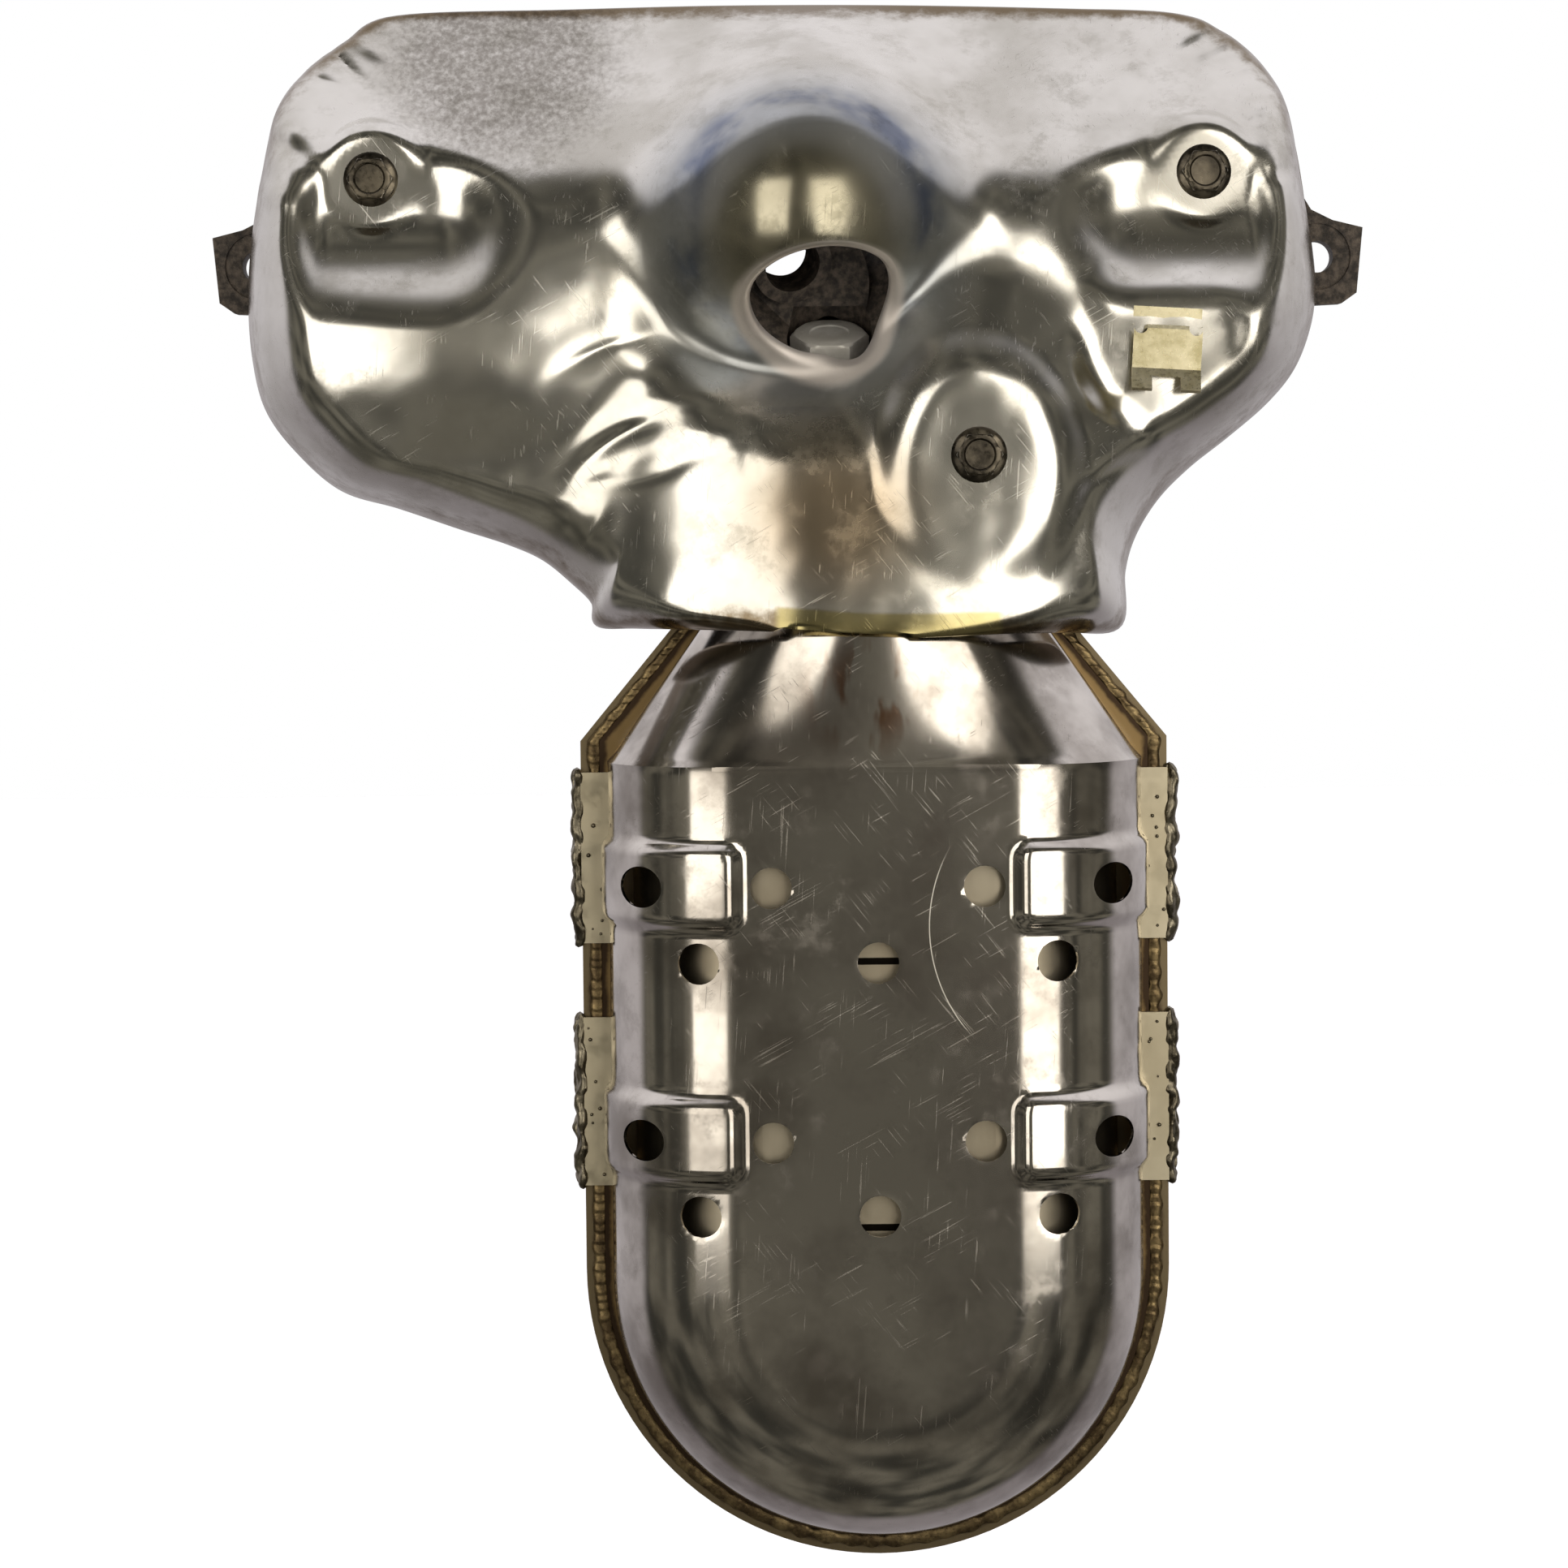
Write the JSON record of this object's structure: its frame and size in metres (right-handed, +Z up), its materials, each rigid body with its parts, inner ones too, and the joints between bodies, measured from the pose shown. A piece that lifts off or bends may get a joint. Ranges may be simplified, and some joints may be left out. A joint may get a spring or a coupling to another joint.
{
  "type": "exhaust manifold with catalytic converter",
  "caption": "Cast exhaust manifold with a close-coupled clamshell catalytic converter below it, both under pressed steel heat shields, for an inline cylinder head.",
  "frame": {"origin": "middle between the two end bolt holes, on the flange face that seals against the cylinder head", "axes": "+X along the head, to the right as seen from the front of the shield; +Y into the head; +Z up, along the converter's length"},
  "size_m": [0.3806, 0.1619, 0.5037],
  "materials": {
    "casting": "rough sand-cast surface with brown heat oxide",
    "aluminised_sheet": "bright pressed sheet with draw marks and wrinkles",
    "bolt_steel": "dark oiled",
    "zinc_steel": "yellowish zinc plate",
    "plug_steel": "turned, lightly oxidised",
    "copper_washer": "dull copper",
    "gasket_steel": "embossed layered sheet",
    "flange_steel": "heat-tinted plate",
    "tinted_steel": "stainless sheet with straw, brown and blue heat tint at the weld",
    "weld": "rippled weld bead with scale",
    "polished_sheet": "bright stainless sheet with fine scratches",
    "satin_strip": "satin stainless strip",
    "ceramic": "coated ceramic honeycomb, matt",
    "mat_fibre": "ceramic fibre mat",
    "wire_mesh": "knitted stainless wire"
  },
  "bodies": {
    "root": {"manifold_casting": "casting", "manifold_shield": "aluminised_sheet", "shield_bolts": "bolt_steel", "connector_clip": "zinc_steel", "port_plug": "plug_steel", "plug_washer": "copper_washer", "head_gasket": "gasket_steel", "joint_gasket": "gasket_steel", "joint_studs": "bolt_steel", "joint_nuts": "bolt_steel", "inlet_flange": "flange_steel", "front_half_shell": "tinted_steel", "rear_half_shell": "tinted_steel", "seam_weld": "weld", "upper_brick": "ceramic", "lower_brick": "ceramic", "upper_mat": "mat_fibre", "lower_mat": "mat_fibre", "mat_seals": "wire_mesh", "front_cover": "polished_sheet", "rear_cover": "polished_sheet", "front_tabs": "satin_strip", "rear_tabs": "satin_strip", "front_tab_welds": "weld", "rear_tab_welds": "weld", "outlet_pipe": "tinted_steel", "outlet_weld": "weld", "outlet_flange": "flange_steel", "sensor_bung": "flange_steel"}
  },
  "joints": []
}
